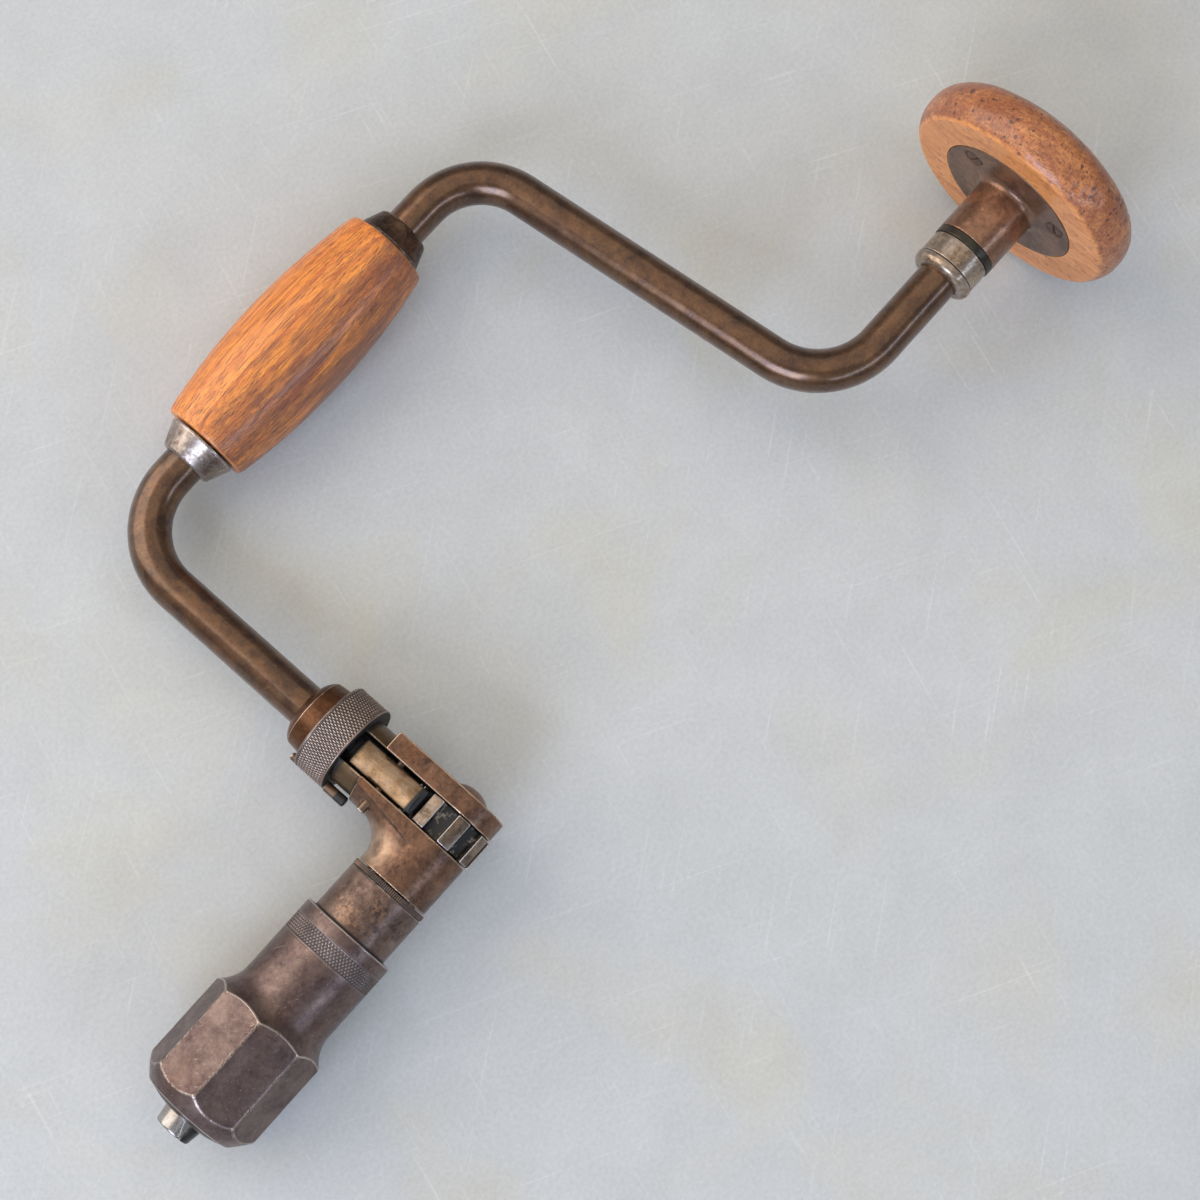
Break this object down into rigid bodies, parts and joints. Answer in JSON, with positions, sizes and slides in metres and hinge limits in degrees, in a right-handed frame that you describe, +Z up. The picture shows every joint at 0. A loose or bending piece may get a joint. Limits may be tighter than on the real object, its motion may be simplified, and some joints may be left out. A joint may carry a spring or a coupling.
{
  "type": "bit brace",
  "caption": "Carpenter's bit brace with a ring-set ratchet, a two-jaw chuck in an octagonal shell, and a wooden handle and head that spin freely.",
  "frame": {"origin": "centre of the footprint on the surface the tool lies on", "axes": "+X along the tool from the chuck to the head, level; +Y towards the handle; +Z up from the surface it lies on"},
  "size_m": [0.3766, 0.18, 0.0724],
  "materials": {
    "rod_steel": "dark brown patina with a soft gloss, rubbed to golden brown in places",
    "forged_steel": "brown patina on forged and filed steel, brighter at the edges",
    "ring_steel": "diamond knurling with bright worn points and dark grooves",
    "pawl_steel": "polished by wear, with oily stains",
    "gear_steel": "bright tooth crests, greasy dark gaps",
    "shell_steel": "brown patina, bright worn arrises and nose",
    "jaw_steel": "bare steel, bright on the cone, dark on the split faces",
    "ferrule_steel": "worn and pitted steel",
    "bearing_steel": "polished balls",
    "hardware": "plain dark steel",
    "handle_wood": "orange-brown hardwood with a worn glossy varnish and dark dirty grain",
    "head_wood": "reddish brown, mottled and pitted, lighter on the flat underside"
  },
  "bodies": {
    "root": {"crank_rod": "rod_steel", "rod_pin": "hardware", "ratchet_frame": "forged_steel", "ring_collar": "ring_steel", "pawl_pins": "hardware", "pawl_spring": "hardware", "lower_ferrule": "ferrule_steel", "upper_ferrule": "ferrule_steel", "head_collar": "ferrule_steel", "head_thrust_balls": "bearing_steel", "head_dust_ring": "hardware", "head_washer": "hardware", "head_nut": "hardware"},
    "handle": {"handle_grip": "handle_wood"},
    "head": {"head_quill": "rod_steel", "head_wood": "head_wood", "head_screws": "hardware"},
    "ring": {"cam_ring": "ring_steel", "stop_pin": "pawl_steel"},
    "upper_pawl": {"pawl_upper": "pawl_steel"},
    "lower_pawl": {"pawl_lower": "pawl_steel"},
    "chuck": {"ratchet_gear": "gear_steel", "gear_key": "hardware", "spindle": "gear_steel", "spindle_cap": "forged_steel", "chuck_body": "shell_steel", "chuck_thrust_balls": "bearing_steel", "chuck_dust_ring": "shell_steel"},
    "shell": {"chuck_shell": "shell_steel"},
    "first_jaw": {"jaw_a": "jaw_steel", "jaw_spring": "hardware"},
    "second_jaw": {"jaw_b": "jaw_steel"}
  },
  "joints": [
    {"name": "chuck_spin", "type": "hinge", "parent": "root", "child": "chuck", "pos_m": [-0.07812, -0.05374, 0.02394], "axis": [0.9988, 0, 0.049], "continuous": true},
    {"name": "shell_turn", "type": "hinge", "parent": "chuck", "child": "shell", "pos_m": [-0.16252, -0.05374, 0.01979], "axis": [-0.9988, 0, -0.049], "range_deg": [0, 1440]},
    {"name": "jaw_a_slide", "type": "slide", "parent": "chuck", "child": "first_jaw", "axis": [0.9818, 0.1235, 0.1443], "range_m": [0, 0.008]},
    {"name": "jaw_b_slide", "type": "slide", "parent": "chuck", "child": "second_jaw", "axis": [0.9912, -0.1235, -0.0474], "range_m": [0, 0.008]},
    {"name": "ring_turn", "type": "hinge", "parent": "root", "child": "ring", "pos_m": [-0.078, -0.02095, 0.02132], "axis": [0.0039, 0.9968, -0.0795], "range_deg": [-22.5, 22.5]},
    {"name": "pawl_upper_tilt", "type": "hinge", "parent": "root", "child": "upper_pawl", "pos_m": [-0.07834, -0.03353, 0.02834], "axis": [0.9988, 0, 0.049], "range_deg": [-6.9, 6.9]},
    {"name": "pawl_lower_tilt", "type": "hinge", "parent": "root", "child": "lower_pawl", "pos_m": [-0.07775, -0.03448, 0.01639], "axis": [0.9988, 0, 0.049], "range_deg": [-6.9, 6.9]},
    {"name": "handle_spin", "type": "hinge", "parent": "root", "child": "handle", "pos_m": [-0.00202, 0.07286, 0.01756], "axis": [0.9988, 0, 0.049], "continuous": true},
    {"name": "head_spin", "type": "hinge", "parent": "root", "child": "head", "pos_m": [0.16438, -0.05374, 0.03585], "axis": [0.9988, 0, 0.049], "continuous": true}
  ],
  "couplings": [
    {"joint": "jaw_a_slide", "follows": "shell_turn", "m_per_rad": 0.000318},
    {"joint": "jaw_b_slide", "follows": "shell_turn", "m_per_rad": 0.000318},
    {"joint": "pawl_upper_tilt", "follows": "ring_turn", "ratio": 0.3066},
    {"joint": "pawl_lower_tilt", "follows": "ring_turn", "ratio": 0.3066}
  ]
}
